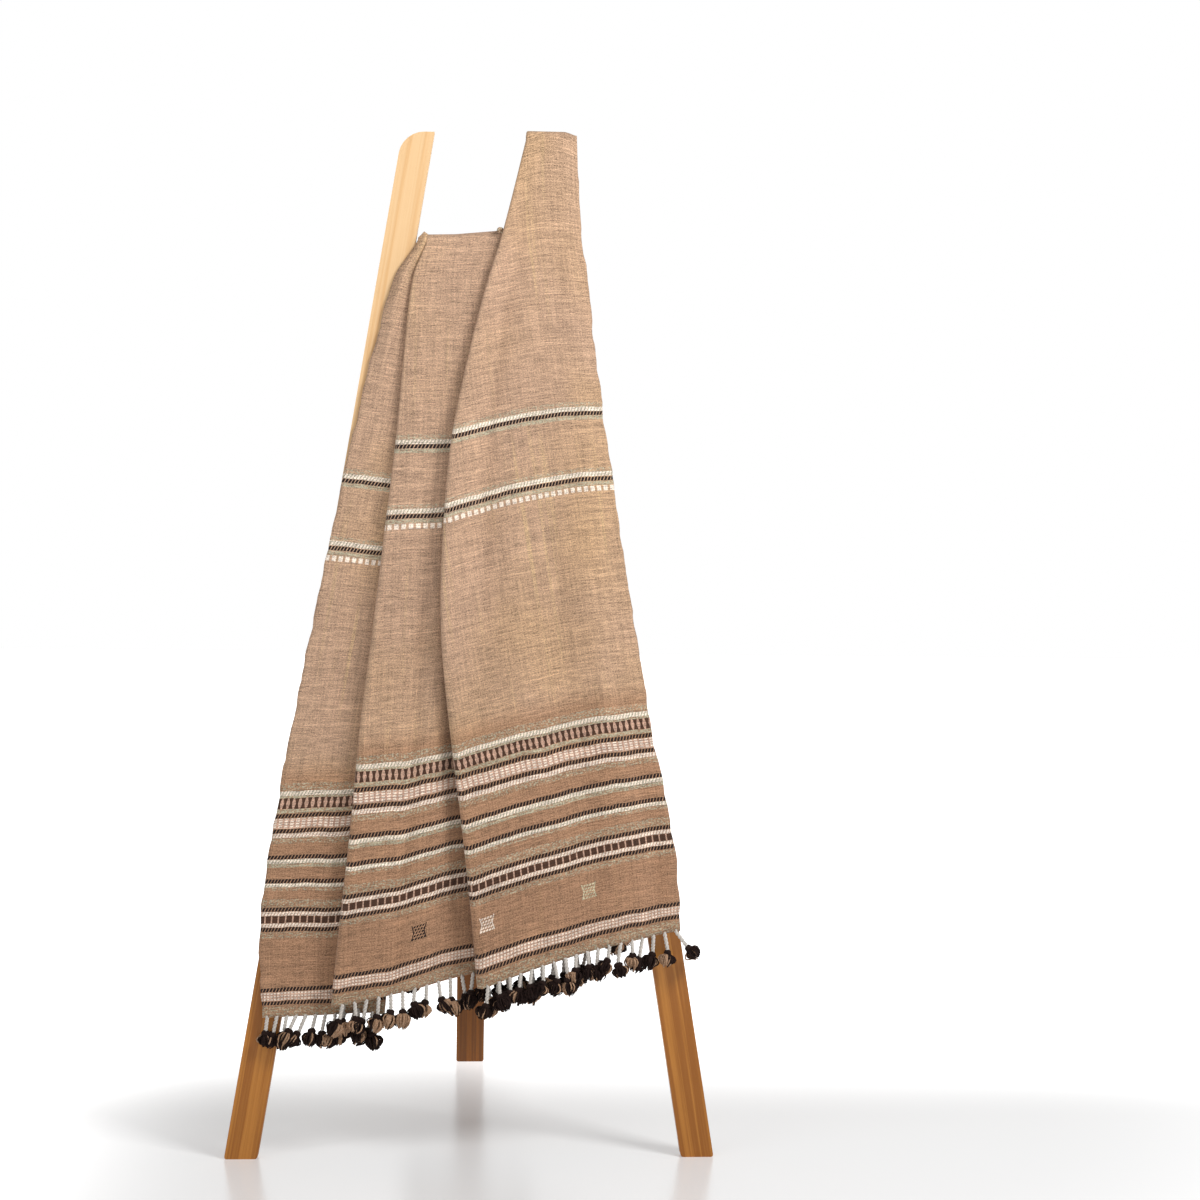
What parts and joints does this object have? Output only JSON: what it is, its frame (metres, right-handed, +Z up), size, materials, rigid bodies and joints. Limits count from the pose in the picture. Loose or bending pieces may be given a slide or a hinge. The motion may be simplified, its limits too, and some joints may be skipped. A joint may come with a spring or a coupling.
{
  "type": "wool throw blanket draped on a wooden easel stand",
  "caption": "Striped wool throw with tasselled hems, hung in soft pleats over a three-legged wooden easel stand, falling in front over its rails and behind over its rear leg.",
  "frame": {"origin": "on the floor under the middle of the object's bounding box", "axes": "+Z up along the height, +X to the right seen from the front, -Y towards the front, where the two rails stand; +Y towards the rear leg"},
  "size_m": [0.7424, 0.7506, 1.5875],
  "materials": {
    "wool": "matt hand-woven wool, striped",
    "tassels": "fluffy wool tassels on twisted cords",
    "pine": "satin clear varnish",
    "hinge_steel": "satin"
  },
  "bodies": {
    "root": {"throw": "wool", "fringe_front": "tassels", "fringe_back": "tassels", "rail_left": "pine", "rail_right": "pine", "crosspiece": "pine", "rear_leg": "pine", "leg_hinge": "hinge_steel"}
  },
  "joints": []
}
